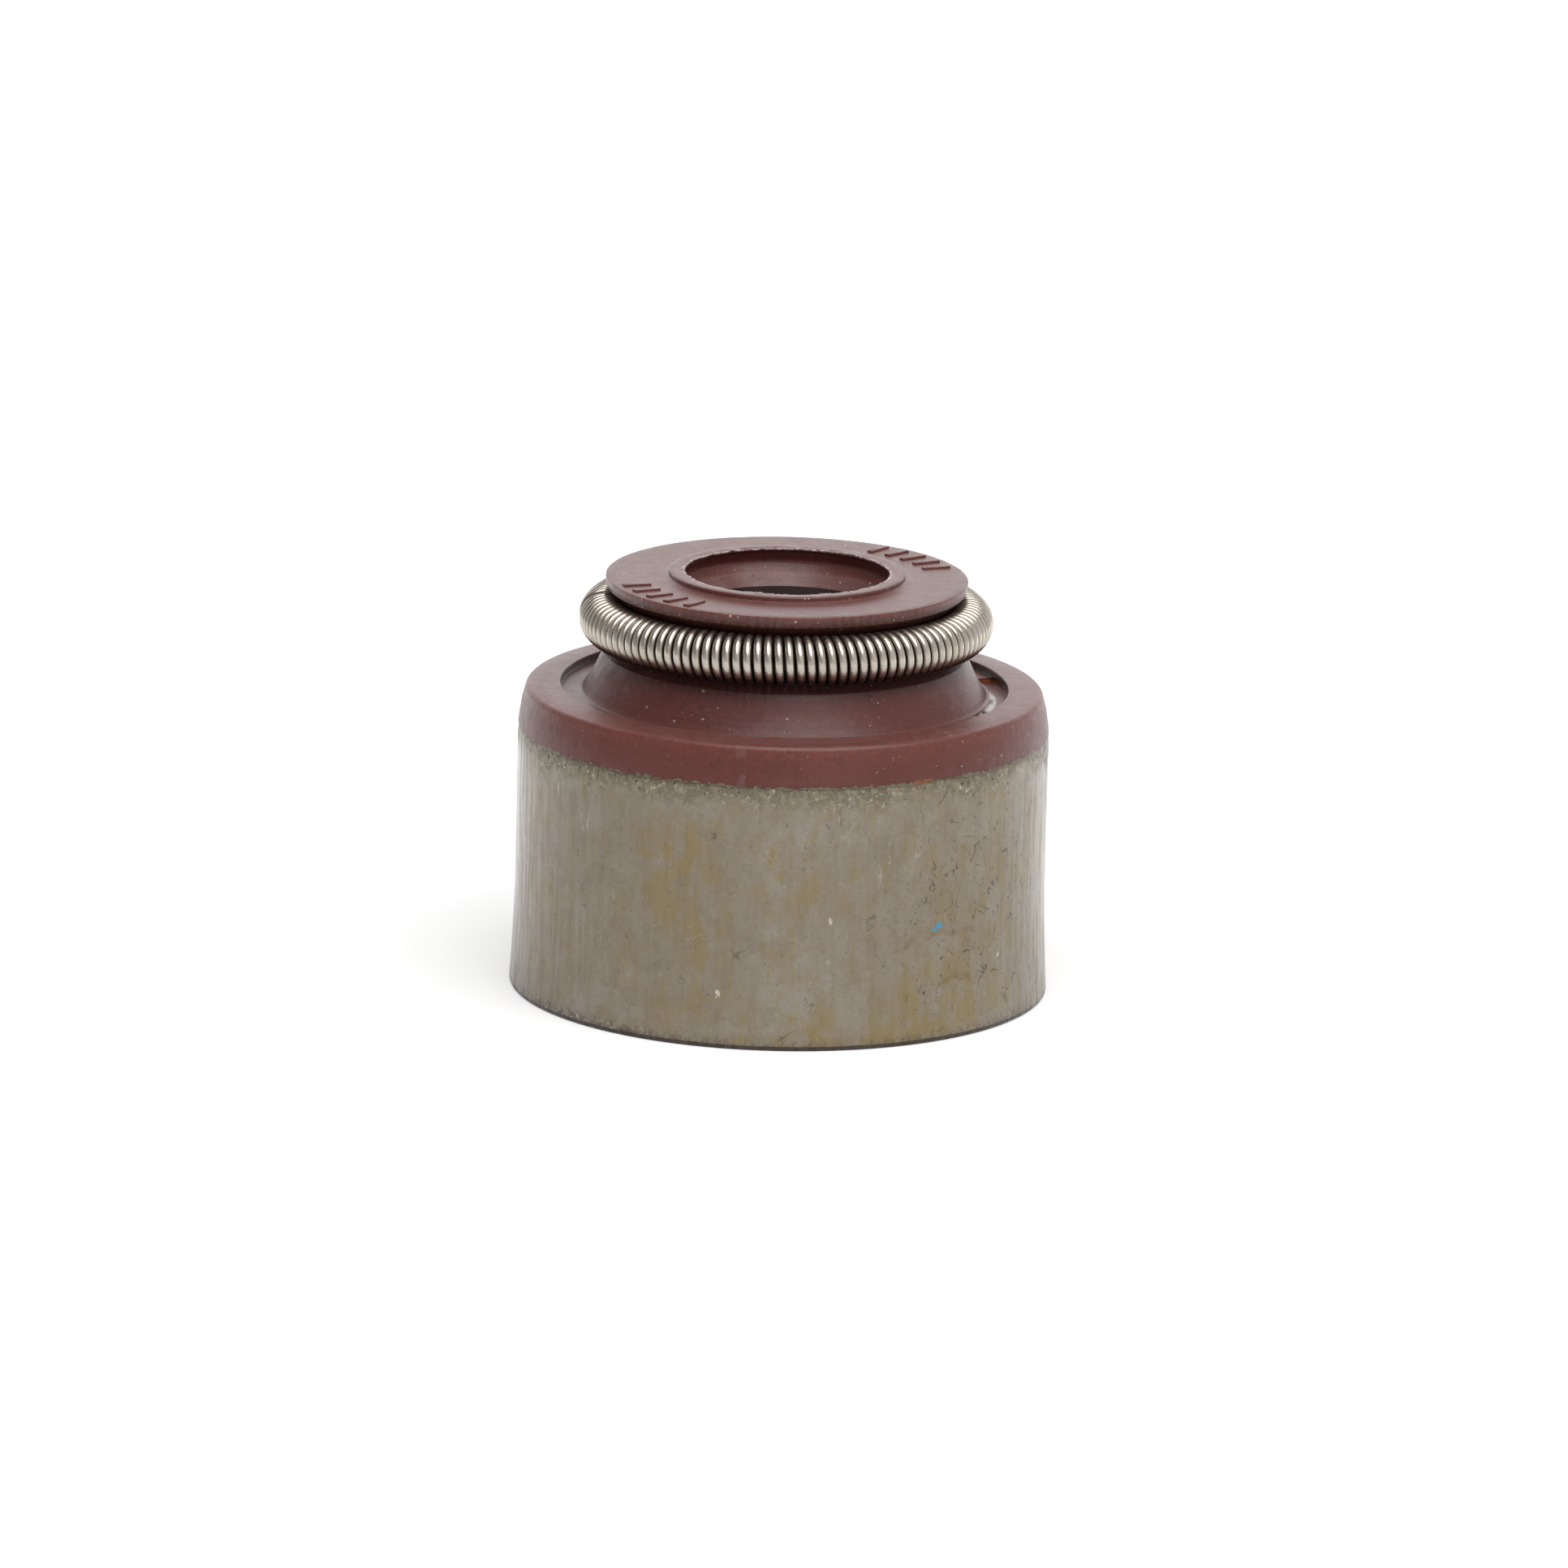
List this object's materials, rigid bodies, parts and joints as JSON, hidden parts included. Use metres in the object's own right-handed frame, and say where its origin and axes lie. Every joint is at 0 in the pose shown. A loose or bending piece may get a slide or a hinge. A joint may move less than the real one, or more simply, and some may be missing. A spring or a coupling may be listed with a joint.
{
  "type": "valve stem seal",
  "caption": "Round engine valve stem seal: steel shell with a moulded rubber neck, sealing lips and top disc, held to the stem by a coiled garter spring.",
  "frame": {"origin": "centre of the shell's mouth, at the bottom of the seal, on the stem's axis", "axes": "+Z along the valve stem, from the shell's mouth to the lips; +X to the right and +Y away from the viewer in the picture"},
  "size_m": [0.0142, 0.0142, 0.0112],
  "materials": {
    "phosphated_steel": "dull olive grey phosphate coating, stained and scratched",
    "seal_rubber": "moulded maroon fluorocarbon rubber, dusty on its upper faces",
    "spring_wire": "bright drawn spring wire"
  },
  "bodies": {
    "root": {"steel_shell": "phosphated_steel", "rubber_seal": "seal_rubber", "garter_spring": "spring_wire"}
  },
  "joints": []
}
